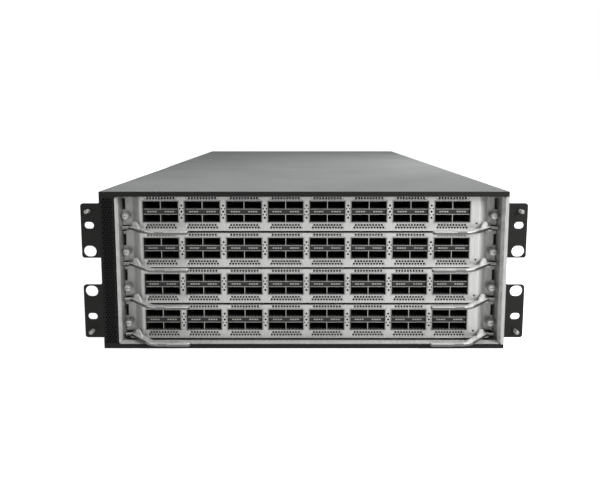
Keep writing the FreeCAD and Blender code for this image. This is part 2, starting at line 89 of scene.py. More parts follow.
# Dark tone, light tone, metallic, roughness, grain, relief and, where set, specular
FINISH_VALUES = {
    "bright_sheet": ((0.30, 0.30, 0.29), (0.46, 0.46, 0.45), 0.5, 0.38, UPRIGHT_GRAIN, 0.05),
    "cover_sheet": ((0.22, 0.225, 0.22), (0.29, 0.295, 0.29), 0.02, 0.46, LENGTHWISE, 0.06, 0.0),
    "face_sheet": ((0.36, 0.36, 0.35), (0.54, 0.54, 0.525), 0.45, 0.38, UPRIGHT_GRAIN, 0.05),
    # A lighter, less metallic copy of the face sheet, painted on the bends as a painted reflection of bright
    # surroundings.
    "bend_sheet": ((0.40, 0.40, 0.39), (0.66, 0.66, 0.64), 0.2, 0.42, UPRIGHT_GRAIN, 0.05),
    "column_coat": ((0.006, 0.006, 0.0057), (0.011, 0.011, 0.0105), 0.0, 0.6, SPECKLE, 0.3, 0.12),
    "black_coat": ((0.006, 0.006, 0.0055), (0.012, 0.012, 0.011), 0.0, 0.55, SPECKLE, 0.35, 0.15),
    "cage_steel": ((0.24, 0.24, 0.23), (0.38, 0.38, 0.37), 0.7, 0.36, ROLLED, 0.04),
    # The next two rows are one lever metal in a shaded and a lit copy. The dark one is painted shade and dark
    # reflection on the lever's sides and ends. The light one is a painted highlight on the lever's upward
    # faces and fin, and also makes the painted light strips by the card bay and on the sill.
    "lever_metal": ((0.09, 0.09, 0.088), (0.16, 0.16, 0.155), 0.8, 0.34, ROLLED, 0.04),
    "lever_top": ((0.70, 0.70, 0.69), (0.86, 0.86, 0.84), 0.3, 0.30, ROLLED, 0.03),
    "screw_steel": ((0.32, 0.32, 0.31), (0.48, 0.48, 0.46), 0.8, 0.32, SPECKLE, 0.03),
    "dull_steel": ((0.20, 0.20, 0.195), (0.32, 0.32, 0.31), 0.6, 0.40, SPECKLE, 0.05),
    "circuit_board": ((0.008, 0.045, 0.022), (0.016, 0.085, 0.040), 0.0, 0.40, SPECKLE, 0.1),
    "heatsink_metal": ((0.34, 0.35, 0.36), (0.50, 0.51, 0.52), 0.9, 0.42, ROLLED, 0.05),
    "module_case": ((0.30, 0.305, 0.31), (0.43, 0.435, 0.44), 0.6, 0.42, ROLLED, 0.05),
    "black_plastic": ((0.010, 0.010, 0.010), (0.022, 0.022, 0.022), 0.0, 0.50, SPECKLE, 0.15, 0.3),
    # Near black, painted as shade inside the ports, on the cages' outer walls and top gasket, and on the
    # faceplates' top and bottom edges.
    "painted_shade_dark": ((0.006, 0.006, 0.006), (0.014, 0.014, 0.013), 0.2, 0.60, SPECKLE, 0.05, 0.2),
    "web_plastic": ((0.010, 0.010, 0.0095), (0.022, 0.022, 0.021), 0.0, 0.45, SPECKLE, 0.05, 0.3),
    "chip_case": ((0.016, 0.016, 0.017), (0.034, 0.034, 0.035), 0.0, 0.36, SPECKLE, 0.08),
    "ceramic": ((0.30, 0.24, 0.15), (0.46, 0.38, 0.25), 0.0, 0.5, SPECKLE, 0.05),
    "light_pipe": ((0.30, 0.30, 0.28), (0.46, 0.46, 0.43), 0.0, 0.25, SPECKLE, 0.02),
}

# Conductor lines and plated pads: cells per metre, what is measured in a cell, its limit, colour
TRACES = ((90.0, "DISTANCE_TO_EDGE", 0.05, (0.03, 0.17, 0.08)),
          (200.0, "F1", 0.12, (0.42, 0.33, 0.14)))

# Numbers of a mix node's colour sockets
MIX_FACTOR = 0
MIX_BASE = 6
MIX_OVER = 7
MIX_RESULT = 2


def feed(tree, node, values):
    """Set a node's sockets to values, or join them to other nodes' outputs."""
    for socket, value in values.items():
        if isinstance(value, bpy.types.NodeSocket):
            tree.links.new(value, node.inputs[socket])
        else:
            node.inputs[socket].default_value = value


def add_node(tree, kind, values=None):
    node = tree.nodes.new("ShaderNode" + kind)
    feed(tree, node, values or {})
    return node


def surface(name, dark, light, metallic, roughness, grain, relief, specular=0.5):
    """Material whose tone, gloss and relief follow one noise, stretched by grain."""
    mat = bpy.data.materials.new(name)
    mat.use_nodes = True
    tree = mat.node_tree
    coords = add_node(tree, "TexCoord").outputs["Object"]
    stretched = add_node(tree, "Mapping", {"Vector": coords, "Scale": grain}).outputs["Vector"]
    noise = add_node(tree, "TexNoise", {"Vector": stretched, "Scale": 1.0, "Detail": NOISE_DETAIL})
    fine = noise.outputs["Fac"]
    broad = add_node(tree, "TexNoise", {"Vector": coords, "Scale": BROAD_SCALE}).outputs["Fac"]
    tone = add_node(tree, "Mix", {"Factor": BROAD_SHARE, "A": fine, "B": broad}).outputs["Result"]
    gloss = add_node(tree, "MapRange", {
        "Value": tone, "From Min": NOISE_LOW, "From Max": NOISE_HIGH,
        "To Min": roughness - GLOSS_SPREAD, "To Max": roughness + GLOSS_SPREAD})
    bump = add_node(tree, "Bump", {"Height": fine, "Strength": relief, "Distance": BUMP_DISTANCE})
    colour = add_node(tree, "ValToRGB", {"Fac": tone})
    first, last = colour.color_ramp.elements
    first.position = NOISE_LOW
    first.color = (*dark, 1)
    last.position = NOISE_HIGH
    last.color = (*light, 1)
    feed(tree, tree.nodes["Principled BSDF"], {
        "Metallic": metallic, "Specular IOR Level": specular, "Base Color": colour.outputs["Color"],
        "Roughness": gloss.outputs["Result"], "Normal": bump.outputs["Normal"]})
    return mat


def add_traces(mat):
    """Lay fine conductor lines and plated pads over a board's base colour."""
    tree = mat.node_tree
    shader = tree.nodes["Principled BSDF"]
    base = shader.inputs["Base Color"].links[0].from_socket
    coords = add_node(tree, "TexCoord").outputs["Object"]
    for scale, feature, edge, colour in TRACES:
        cells = add_node(tree, "TexVoronoi")
        cells.feature = feature
        if feature == "F1":
            cells.distance = "CHEBYCHEV"
        feed(tree, cells, {"Vector": coords, "Scale": scale})
        mask = add_node(tree, "Math", {0: cells.outputs["Distance"], 1: edge})
        mask.operation = "LESS_THAN"
        blend = add_node(tree, "Mix")
        blend.data_type = "RGBA"
        feed(tree, blend, {MIX_FACTOR: mask.outputs["Value"], MIX_BASE: base, MIX_OVER: (*colour, 1)})
        base = blend.outputs[MIX_RESULT]
    feed(tree, shader, {"Base Color": base})


FINISH = {name: surface(name, *values) for name, values in FINISH_VALUES.items()}
add_traces(FINISH["circuit_board"])
for row in frame["record"]["subparts"]:
    for holder in frame["nodes"][row["node"]].material_slots:
        holder.material = FINISH[row["material_slot"]]


# Mesh helpers

SHARP_ANGLE = 35.0
WELD = 1e-4
LEVEL = 1e-6
HEXAGON = 6
ROUND_SIDES = 24
SMALL_SIDES = 20
# Distance between the rows of a staggered pattern, as a share of its pitch
STAGGER = 0.87


def paint_faces(faces, paint):
    for face in faces:
        face.material_index = paint


def bridge(bm, below, above):
    """Band of faces between two closed loops with as many verts."""
    corners = zip(below, below[1:] + below[:1], above[1:] + above[:1], above)
    return [bm.faces.new(four) for four in corners]


def add_skin(bm, outlines, paint=0, closed=True):
    """Skin over a row of outlines, with a face at each end if closed."""
    loops = [[bm.verts.new(point) for point in outline] for outline in outlines]
    faces = []
    for below, above in zip(loops, loops[1:]):
        faces += bridge(bm, below, above)
    if closed:
        faces += [bm.faces.new(loops[0][::-1]), bm.faces.new(loops[-1])]
    paint_faces(faces, paint)
    return faces


def add_case(bm, outlines, paint=0, closed=True):
    """Skin over outlines in the (x, z) plane, each given with its y."""
    return add_skin(bm, [[(x, y, z) for x, z in outline] for outline, y in outlines], paint, closed)


def add_box(bm, low, high, paint=0):
    plan = rectangle(low[0], high[0], low[1], high[1])
    add_skin(bm, [[(x, y, z) for x, y in plan] for z in (low[2], high[2])], paint)


def add_lathe(bm, centre, axis, profile, sides, paint=0, teeth=None):
    """Turned form along axis from (radius, distance) pairs; teeth scales a numbered side's radius."""
    turn = Vector(UP).rotation_difference(Vector(axis)).to_matrix()
    outlines = []
    for radius, along in profile:
        outline = []
        for i in range(sides):
            reach = radius * (teeth(i) if teeth else 1.0)
            angle = 2 * math.pi * i / sides
            spot = turn @ Vector((reach * math.cos(angle), reach * math.sin(angle), along))
            outline.append(spot + Vector(centre))
        outlines.append(outline)
    return add_skin(bm, outlines, paint)


def thread(start, stop, crest, root, pitch):
    """Profile of a thread from start past stop, and where it ends."""
    profile = []
    while start < stop:
        profile += [(crest, start), (root, start + pitch / 2)]
        start += pitch
    return profile, start


def ring(x, z, radius, sides):
    """Regular outline in the (x, z) plane, with a flat side at its right."""
    turns = [2 * math.pi * (i + 0.5) / sides for i in range(sides)]
    return [(x + radius * math.cos(t), z + radius * math.sin(t)) for t in turns]


def spread(start, end, count):
    """Places from start to end, both included."""
    return [start + (end - start) * i / (count - 1) for i in range(count)]


def rectangle(x0, x1, z0, z1):
    return [(x0, z0), (x1, z0), (x1, z1), (x0, z1)]


def cut_corners(x0, x1, z0, z1, cut):
    """Rectangle with its corners cut off."""
    return [(x0 + cut, z0), (x1 - cut, z0), (x1, z0 + cut), (x1, z1 - cut),
            (x1 - cut, z1), (x0 + cut, z1), (x0, z1 - cut), (x0, z0 + cut)]


def arc(centre, radius, start, end, steps):
    turns = [math.radians(start + (end - start) * i / steps) for i in range(steps + 1)]
    return [(centre[0] + radius * math.cos(t), centre[1] + radius * math.sin(t)) for t in turns]


def stadium(x, z, reach, half, steps=6):
    """Slot outline with round ends."""
    return arc((x + reach - half, z), half, -90, 90, steps) + arc((x - reach + half, z), half, 90, 270, steps)


def staggered(x, z, width, height, pitch, radius):
    """Six-sided holes in staggered rows about a middle, as many as fit."""
    row_step = pitch * STAGGER
    columns = int(width / pitch)
    rows = int(height / row_step)
    holes = []
    for row in range(rows):
        count = columns - row % 2
        level = z + (row - (rows - 1) / 2) * row_step
        holes += [ring(x + (i - (count - 1) / 2) * pitch, level, radius, HEXAGON) for i in range(count)]
    return holes


def cut_sheet(bm, outline, holes, y, hollows=(), creases=()):
    """Faces of a sheet across y. Holes are (outline, sink) pairs and hollows are (rim, floor, sink)."""
    points, sinks, loops = [], [], []

    def add_loop(loop, sink):
        loops.append(list(range(len(points), len(points) + len(loop))))
        points.extend(Vector(p) for p in loop)
        sinks.extend([sink] * len(loop))

    add_loop(outline, 0.0)
    for rim, floor, sink in hollows:
        add_loop(rim, 0.0)
        add_loop(floor, sink)
    first_hole = len(loops)
    for hole, sink in holes:
        add_loop(hole, sink)
    edges = []
    for crease in creases:
        edges.append((len(points), len(points) + 1))
        points.extend(Vector(p) for p in crease)
        sinks.extend([0.0, 0.0])
    spots, _, faces, from_points, _, from_loops = delaunay_2d_cdt(points, edges, loops, 0, WELD)
    verts = []
    for spot, source in zip(spots, from_points):
        sink = max([sinks[i] for i in source], default=0.0)
        verts.append(bm.verts.new((spot.x, y + sink, spot.y)))
    made = [bm.faces.new([verts[i] for i in face]) for face, source in zip(faces, from_loops)
            if 0 in source and all(i < first_hole for i in source)]
    loose = [vert for vert in verts if not vert.link_faces]
    bmesh.ops.delete(bm, geom=loose, context="VERTS")
    return made


def face_outward(bm, faces):
    bmesh.ops.recalc_face_normals(bm, faces=faces)


def thicken(bm, faces, thickness):
    """Give a sheet that faces -Y its thickness, backwards."""
    face_outward(bm, faces)
    if sum(face.normal.y * face.calc_area() for face in faces) > 0:
        bmesh.ops.reverse_faces(bm, faces=faces)
    bmesh.ops.solidify(bm, geom=faces, thickness=thickness)


def add_plate(bm, outline, holes, y, thickness):
    """Cut plate that starts at y."""
    thicken(bm, cut_sheet(bm, outline, [(hole, 0.0) for hole in holes], y), thickness)


def flat_bar(bm, outline, low, high, edge):
    """Upright prism on a plan outline with its rims rounded."""
    lower = [bm.verts.new((x, y, low)) for x, y in outline]
    face = bm.faces.new(lower)
    raised = bmesh.ops.extrude_face_region(bm, geom=[face])["geom"]
    upper = [item for item in raised if isinstance(item, bmesh.types.BMVert)]
    for vert in upper:
        vert.co.z = high
    rims = {rim for vert in lower + upper for rim in vert.link_edges
            if abs(rim.verts[0].co.z - rim.verts[1].co.z) < LEVEL}
    bmesh.ops.bevel(bm, geom=list(rims), offset=edge, segments=2, profile=0.5, affect="EDGES")


def finish_mesh(build, finishes):
    """Mesh in metres of what build draws, with its name, smooth apart from sharp edges."""
    bm = bmesh.new()
    build(bm)
    face_outward(bm, bm.faces[:])
    mesh = bpy.data.meshes.new(build.__name__)
    bm.to_mesh(mesh)
    bm.free()
    mesh.transform(Matrix.Scale(MM, 4))
    mesh.polygons.foreach_set("use_smooth", [True] * len(mesh.polygons))
    mesh.set_sharp_from_angle(angle=math.radians(SHARP_ANGLE))
    for finish in finishes:
        mesh.materials.append(FINISH[finish])
    return mesh


def flipped(mesh):
    """Copy of a left mesh for the right end of a card."""
    other = mesh.copy()
    other.name = mesh.name.replace("left", "right")
    other.transform(Matrix.Translation((2 * card_middle * MM, 0, 0)) @ Matrix.Diagonal((-1, 1, 1, 1)))
    other.flip_normals()
    return other


def place(name, mesh, body, nodes=(), offset=(0, 0, 0)):
    """Show a mesh as a piece that rides on a body, moved by offset."""
    obj = bpy.data.objects.new(name, mesh)
    bpy.context.scene.collection.objects.link(obj)
    obj.location = Vector(offset) * MM
    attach(obj, body)
    if nodes:
        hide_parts(*nodes)


def place_row(name, mesh, body, node, count, step):
    """Show a mesh count times, a step apart; the names hold a place for the number."""
    for number in range(1, count + 1):
        nodes = [node % number] if node else []
        place(name % number, mesh, body % number, nodes, [(number - 1) * way for way in step])


def place_on_cards(part, mesh, replaced=None, body="card_%d"):
    """Show a mesh on every card, in place of the card's node named replaced."""
    node = "card_%d_" + replaced if replaced else None
    place_row("card_%d_" + part, mesh, body, node, CARDS, (0, 0, -card_step))


# Card faceplates: a sheet with port windows, vents and bent ends

GROUPS = 8
WINDOW_WIDTH = 39.4
WINDOW_HEIGHT = 25.4
WINDOW_GAP = 0.2
FACE_SHEET = 1.5
FACE_TRIM = 0.8
FLANGE_WIDTH = 10.4
FLANGE_SETBACK = 12.0
BEND_RUN = 13.3
BEND_LINES = 17
VENTS = (10, 3.2, 0.6)
VENT_RADIUS = 1.42
VENT_ROW = 2.77
VENT_MARGIN = 0.1
SLOT_HALF = 1.1
SLOT_RISE = 1.2
FIELD = (18.8, 17.2, 0.5, 0.6, 0.4)
FIELD_RIM = 0.6
DOTS = (1.3, 0.9, 8, 1.85, 3.4)
TEST_HOLE = (190.7, 9.2, 1.2, 12)
NOTCH = (3.0, 23.0, 36.0)
CLAW_SLOT = (13.1, 1.6, 5.2)
SCREW_PLACE = (5.2, 16.6)
SCREW_HOLE = 2.6
# Places in the sheet's list of finishes
BEND_REFLECTION_PAINT = 1
EDGE_SHADE_PAINT = 2
FLANGE_PAINT = 3
# How far a face has to turn to count as part of the bend, which takes a painted reflection, or as an edge,
# which takes painted shade
FACE_TURNS = (0.15, 0.1, 0.9, 0.1)

group_inset = WINDOW_WIDTH / 2 - WINDOW_GAP
group_places = spread(cage_low.x + group_inset, cage_high.x - group_inset, GROUPS)
card_height = face_high.z - face_low.z
window_floor = cage_low.z - WINDOW_GAP - face_low.z
window_top = window_floor + WINDOW_HEIGHT
round_vent = ring(0, 0, VENT_RADIUS, HEXAGON)
slot_vent = rectangle(-SLOT_HALF, SLOT_HALF, -SLOT_RISE, SLOT_RISE)


def face_depth(x):
    """How far the sheet's front lies behind its flat middle at x."""
    reach = min(x - face_low.x, face_high.x - x) - FLANGE_WIDTH
    share = min(max(reach / BEND_RUN, 0), 1)
    return FLANGE_SETBACK * (1 - share * share * (3 - 2 * share))


def trapezium(x, low, high, low_half, high_half):
    return [(x - low_half, low), (x + low_half, low), (x + high_half, high), (x - high_half, high)]


def vent_field(x, low, high, low_half, high_half, rows, vent):
    """Shallow hollow under or over a window, and its staggered vents."""
    first_count, pitch, sink = VENTS
    rim = trapezium(x, low, high, low_half, high_half)
    rise = FIELD_RIM / 2
    floor = trapezium(x, low + rise, high - rise, low_half - FIELD_RIM, high_half - FIELD_RIM)
    holes = []
    for number, z in enumerate(rows):
        count = first_count + number
        start = x - (count - 1) * pitch / 2
        for i in range(count):
            holes.append(([(start + i * pitch + dx, z + dz) for dx, dz in vent], sink))
    return (rim, floor, sink), holes


def face_edge():
    """Outline with the edge notch and the claw's slot at each end."""
    depth, notch_low, notch_high = NOTCH
    reach, slot_low, slot_high = CLAW_SLOT
    right = [(0, FACE_TRIM), (0, slot_low), (reach, slot_low), (reach, slot_high), (0, slot_high),
             (0, notch_low), (depth, notch_low), (depth, notch_high), (0, notch_high), (0, card_height)]
    return [(face_high.x - x, z) for x, z in right] + [(face_low.x + x, z) for x, z in right[::-1]]


def faceplate(bm):
    sideways, forward, upright, edge_reach = FACE_TURNS
    outer, inner, gap_under, gap_over, gap_top = FIELD
    large, small, sides, apart, step = DOTS
    holes, hollows = [], []
    half = WINDOW_WIDTH / 2
    for x in group_places:
        holes.append((rectangle(x - half, x + half, window_floor, window_top), 0.0))
        high = window_floor - gap_under
        row = high - FIELD_RIM / 2 - VENT_RADIUS - VENT_MARGIN
        low = row - VENT_ROW - VENT_RADIUS - FIELD_RIM / 2 - VENT_MARGIN
        under = vent_field(x, low, high, outer, inner, (row, row - VENT_ROW), round_vent)
        low = window_top + gap_over
        high = card_height - gap_top
        over = vent_field(x, low, high, inner, outer, ((low + high) / 2,), slot_vent)
        for hollow, vents in (under, over):
            hollows.append(hollow)
            holes += vents
    middle = (window_floor + window_top) / 2
    for left, right in zip(group_places, group_places[1:]):
        x = (left + right) / 2
        for rise in (-2, 0, 2):
            holes.append((ring(x, middle + rise * step, large, sides), 0.0))
        for rise in (-1, 1):
            z = middle + rise * step
            for reach in (-apart, apart):
                holes.append((ring(x + reach, z, small, sides), 0.0))
    holes.append((ring(*TEST_HOLE), 0.0))
    for x in (face_low.x + SCREW_PLACE[0], face_high.x - SCREW_PLACE[0]):
        holes.append((ring(x, SCREW_PLACE[1], SCREW_HOLE, ROUND_SIDES), 0.0))
    creases = [[(x, FACE_TRIM), (x, card_height)]
               for reach in spread(FLANGE_WIDTH, FLANGE_WIDTH + BEND_RUN, BEND_LINES)
               for x in (face_low.x + reach, face_high.x - reach)]
    sheet = cut_sheet(bm, face_edge(), holes, face_low.y, hollows, creases)
    for vert in bm.verts:
        vert.co += Vector((0, face_depth(vert.co.x), face_low.z))
    thicken(bm, sheet, FACE_SHEET)
    face_outward(bm, bm.faces[:])
    for face in bm.faces:
        centre = face.calc_center_median()
        height = centre.z - face_low.z
        at_edge = height > card_height - edge_reach or height < FACE_TRIM + edge_reach
        if min(centre.x - face_low.x, face_high.x - centre.x) < FLANGE_WIDTH:
            face.material_index = FLANGE_PAINT
        # Bend faces take the lighter copy as a painted reflection.
        elif abs(face.normal.x) > sideways and abs(face.normal.y) > forward:
            face.material_index = BEND_REFLECTION_PAINT
        # Top and bottom edge faces take painted shade, darkening the gaps between cards.
        elif abs(face.normal.z) > upright and at_edge:
            face.material_index = EDGE_SHADE_PAINT


face_mesh = finish_mesh(faceplate, ["face_sheet", "bend_sheet", "painted_shade_dark", "bright_sheet"])
place_on_cards("face_sheet", face_mesh, "faceplate")


# Port cages

CAGE_WALL = 0.7
PORT_WEB = 6.2
WEB = (0.5, 0.1, 0.6, 1.8)
DIVIDER_FRONT = 0.3
SHADE_LINER = (2.0, 0.05)
CONNECTOR_DEPTH = 8.0
CONNECTOR = (6.5, 9.0, 0.1)
CONNECTOR_BARS = ((1.6, 3.6), (5.0, 6.8))
RIM = (1.2, 0.2, 0.2, 0.55)
GASKET = (0.6, 2.2, 13.0, 0.6)
LENS_ROW = (4, 2.7, 1.9, 1.3, 0.8, 1.9)
FINGERS = 5
FINGER_HALF = 1.2
# Distance behind the cage's front and rise from the port's edge
FINGER_FORM = ((0.4, 0.0), (2.2, 0.7), (4.6, 0.15), (4.6, 0.0), (2.2, 0.5), (0.6, 0.0))
CAGE_FINISHES = ["cage_steel", "painted_shade_dark", "black_plastic", "light_pipe", "web_plastic", "dull_steel"]
# Paint for the painted shade inside and around the ports.
SHADE_LINER_PAINT = 1
CONNECTOR_PAINT = 2
LENS_PAINT = 3
WEB_PAINT = 4
RIM_PAINT = 5

cage_back = cage_high.y - CONNECTOR_DEPTH
port_height = (cage_high.z - cage_low.z - PORT_WEB - 2 * CAGE_WALL) / 2
port_width = (WINDOW_WIDTH - 2 * WINDOW_GAP - 3 * CAGE_WALL) / 2


def add_port(bm, x, z):
    """Dark liner sheets standing as painted shade inside the port, and the port's connector; the port's lower
    left inner corner is at (x, z).
    """
    setback, skin = SHADE_LINER
    half, reach, gap = CONNECTOR
    x1 = x + port_width
    z1 = z + port_height
    y = cage_low.y + setback
    for low, high in (((x, y, z), (x + skin, cage_back, z1)),
                      ((x1 - skin, y, z), (x1, cage_back, z1)),
                      ((x, y, z), (x1, cage_back, z + skin)),
                      ((x, y, z1 - skin), (x1, cage_back, z1)),
                      ((x, cage_back - skin, z), (x1, cage_back, z1))):
        add_box(bm, low, high, SHADE_LINER_PAINT)
    middle = (x + x1) / 2
    for bottom, top in CONNECTOR_BARS:
        add_box(bm, (middle - half, cage_back - reach, z + bottom),
                (middle + half, cage_back - gap, z + top), CONNECTOR_PAINT)


def add_finger(bm, x, z, lean):
    """Spring finger that leans from a port's edge into its mouth."""
    form = [(cage_low.y + along, z + lean * rise) for along, rise in FINGER_FORM]
    add_skin(bm, [[(side, *point) for point in form] for side in (x - FINGER_HALF, x + FINGER_HALF)])


def add_lenses(bm, middle, z):
    """Row of light pipes between an upper and a lower port."""
    count, pitch, width, height, front, back = LENS_ROW
    for i in range(count):
        x = middle + (i - (count - 1) / 2) * pitch - width / 2
        add_box(bm, (x, cage_low.y + front, z - height / 2),
                (x + width, cage_low.y + back, z + height / 2), LENS_PAINT)


def cage_block(bm, x):
    """Two by two ports around the middle x."""
    out, into, rim_front, rim_back = RIM
    lip, lower_front, upper_front, web_front = WEB
    inset, front, back, rise = GASKET
    x0, x1 = x - group_inset, x + group_inset
    y0, y1 = cage_low.y, cage_back
    z0, z1 = cage_low.z, cage_high.z
    wall = CAGE_WALL
    web0 = z0 + wall + port_height
    web1 = web0 + PORT_WEB
    add_box(bm, (x0, y0, z0), (x1, y1, z0 + wall))
    add_box(bm, (x0, y0, z1 - wall), (x1, y1, z1))
    # Outer side walls painted dark as painted shade, widening the dark window.
    for edge in (x0, x1 - wall):
        add_box(bm, (edge, y0, z0 + wall), (edge + wall, y1, z1 - wall), SHADE_LINER_PAINT)
    for low, high in ((z0 + wall, web0), (web1, z1 - wall)):
        add_box(bm, (x - wall / 2, y0 + DIVIDER_FRONT, low), (x + wall / 2, y1, high))
    # Gasket strip on the cage top, painted dark as painted shade seen through the vents over the window.
    add_box(bm, (x0 + inset, y0 + front, z1), (x1 - inset, y0 + back, z1 + rise), SHADE_LINER_PAINT)
    for edge in (x0 - out, x1 - into):
        add_box(bm, (edge, y0 + rim_front, z0), (edge + out + into, y0 + rim_back, z1), RIM_PAINT)
    lip0, lip1 = web0 + lip, web1 - lip
    add_box(bm, (x0 + wall, y0 + lower_front, web0), (x1 - wall, y1, lip0))
    add_box(bm, (x0 + wall, y0 + upper_front, lip1), (x1 - wall, y1, web1))
    add_box(bm, (x0 + wall, y0 + web_front, lip0), (x1 - wall, y1, lip1), WEB_PAINT)
    for port in (x0 + wall, x + wall / 2):
        add_lenses(bm, port + port_width / 2, (web0 + web1) / 2)
        add_port(bm, port, z0 + wall)
        add_port(bm, port, web1)
        for i in range(FINGERS):
            for z, lean in ((z0 + wall, 1), (web0, -1), (web1, 1), (z1 - wall, -1)):
                add_finger(bm, port + port_width * (i + 0.5) / FINGERS, z, lean)


def port_cages(bm):
    for x in group_places:
        cage_block(bm, x)
    add_box(bm, (cage_low.x, cage_back, cage_low.z), cage_high, CONNECTOR_PAINT)


place_on_cards("cages", finish_mesh(port_cages, CAGE_FINISHES), "port_cages")


# Ejector levers and the tabs they turn on

PIVOT = (10.8, 6.0)
LEVER_WIDTH = 7.0
LEVER_SLANT = 45.0
ARM_BEND = (13.5, 12)
LEVER_EDGE = 0.5
LEVER_TIP = 2.2
CLAW = (9.5, 4.0, 0.8, 195.0)
CLAW_INSET = 0.02
CLAW_EDGE = 0.3
GRIP = (25.0, 2.8, 2.6, 3.0)
GRIP_SKIN = 0.35
GRIP_EDGE = 0.7
# Faces of the lever and grip that point up, and the whole fin, take the light copy as a painted highlight;
# the other faces keep the dark copy as painted shade.
LEVER_HIGHLIGHT_PAINT = 1
LEVER_HIGHLIGHT_SLOPE = 0.3
GUSSET = (3.0, 15.0, 6.2, 1.6, 14, 0.2, 0.1)
# Powers that lean the fin towards its pivot and fill out its top
GUSSET_LEAN = 0.75
GUSSET_FULL = 0.8
TAB = (0.4, 1.2, 5.0, 0.25)
# Radius and height over the lever
RIVET = ((2.0, -3.0), (2.0, 0.02), (2.6, 0.02), (2.6, 0.45), (2.08, 0.765), (1.04, 0.9))

lever_low, lever_high = node_box("card_1_left_lever")
pivot = Vector((face_low.x + PIVOT[0], face_low.y + PIVOT[1]))
blade_y = lever_low.y + LEVER_WIDTH / 2
blade_tip = lever_high.x
slant = math.radians(LEVER_SLANT)
arm_way = Vector((math.sin(slant), -math.cos(slant)))
arm_side = Vector((-arm_way.y, arm_way.x))


def lever_line():
    """Middle line of the left lever's slanted arm and bend, as (point, sideways) pairs in plan."""
    radius, steps = ARM_BEND
    turn = math.pi / 2 - slant
    corner = pivot + arm_way * ((pivot.y - blade_y) / math.cos(slant))
    tangent = radius * math.tan(turn / 2)
    centre = corner - arm_way * tangent + arm_side * radius
    line = [(pivot, arm_side)]
    for i in range(steps + 1):
        angle = slant + turn * i / steps
        side = Vector((math.cos(angle), math.sin(angle)))
        line.append((centre - side * radius, side))
    return line


def lever_outline():
    line = lever_line()
    half = LEVER_WIDTH / 2
    near = [point + side * half for point, side in line]
    far = [point - side * half for point, side in line]
    x = blade_tip - LEVER_TIP
    reach = half - LEVER_TIP
    end = arc((x, blade_y - reach), LEVER_TIP, -90, 0, 6) + arc((x, blade_y + reach), LEVER_TIP, 0, 90, 6)
    eye = arc(pivot, half, 45, 225, 18)[1:-1]
    return far + end + near[::-1] + eye


def claw_outline():
    length, width, taper, angle = CLAW
    turn = Matrix.Rotation(math.radians(angle), 2)
    root = width / 2
    end = root - taper
    corners = ((0, -root), (length, -end), (length, end), (0, root))
    return [pivot + turn @ Vector(corner) for corner in corners]


def grip_outline():
    length, radius, corner_back, straight_end = GRIP
    reach = LEVER_WIDTH / 2 + GRIP_SKIN
    start = blade_tip - length
    end = blade_tip - straight_end
    corner = blade_tip - corner_back
    return ([(start, blade_y - reach), (end, blade_y - reach)]
            + arc((corner, blade_y - reach + radius), radius, -80, 0, 5)
            + arc((corner, blade_y + reach - radius), radius, 0, 80, 5)
            + [(end, blade_y + reach), (start, blade_y + reach)])


def add_gusset(bm):
    """Upright fin on the slanted arm, painted light all over as a painted highlight."""
    start, run, height, sheet, steps, root, lip = GUSSET
    side = arm_side * sheet / 2
    base = lever_high.z - root
    outlines = []
    for i in range(steps + 1):
        share = i / steps
        point = pivot + arm_way * (start + run * share)
        rise = height * math.sin(math.pi * share ** GUSSET_LEAN) ** GUSSET_FULL
        top = lever_high.z + rise + lip
        corners = ((point + side, base), (point + side, top), (point - side, top), (point - side, base))
        outlines.append([(*spot, z) for spot, z in corners])
    add_skin(bm, outlines, LEVER_HIGHLIGHT_PAINT)


def left_lever(bm):
    low, high = lever_low.z, lever_high.z
    flat_bar(bm, lever_outline(), low, high, LEVER_EDGE)
    flat_bar(bm, claw_outline(), low + CLAW_INSET, high - CLAW_INSET, CLAW_EDGE)
    flat_bar(bm, grip_outline(), low - GRIP_SKIN, high + GRIP_SKIN, GRIP_EDGE)
    add_gusset(bm)
    face_outward(bm, bm.faces[:])
    # Painted highlight on the faces that point up.
    paint_faces([face for face in bm.faces if face.normal.z > LEVER_HIGHLIGHT_SLOPE], LEVER_HIGHLIGHT_PAINT)


def left_hinge_tab(bm):
    """Tab that carries the lever, and the rivet it turns on."""
    rise, sheet, half, edge = TAB
    low = face_low.z + rise
    back = face_low.y + FLANGE_SETBACK + FACE_SHEET / 2
    outline = arc(pivot, half, 180, 360, 16) + [(pivot.x + half, back), (pivot.x - half, back)]
    flat_bar(bm, outline, low, low + sheet, edge)
    add_lathe(bm, (pivot.x, pivot.y, lever_high.z), UP, RIVET, ROUND_SIDES)


lever_mesh = finish_mesh(left_lever, ["lever_metal", "lever_top"])
tab_mesh = finish_mesh(left_hinge_tab, ["bright_sheet"])
for end, lever, tab in (("left", lever_mesh, tab_mesh), ("right", flipped(lever_mesh), flipped(tab_mesh))):
    place_on_cards(end + "_ejector", lever, end + "_lever", body=end + "_lever_%d")
    place_on_cards(end + "_hinge_tab", tab)


# Captive thumbscrews

KNURLS = 24
KNURL_DEPTH = 0.93
KNOB_GAP = 0.3
# Radius as a share of the knob's, and distance from its back or its front
KNOB_COLLAR = ((0.9, 0.0), (0.9, 1.0))
KNOB_GRIP = ((0.92, 1.0), (1.0, 1.5))
KNOB_GRIP_END = 1.2
KNOB_CAP = ((0.9, -1.3), (0.9, -0.7), (0.8, -0.1), (0.72, 0.0))
SLOT_DEPTH = 1.1
SHANK = (2.3, 2.2, 2.0, 0.5)
# Crest, root and pitch
THREAD = (2.4, 2.05, 0.8)

screw_low, screw_high = node_box("card_1_left_thumbscrew")
knob_radius = (screw_high.x - screw_low.x) / 2


def knurl(i):
    return 1.0 if i % 2 else KNURL_DEPTH


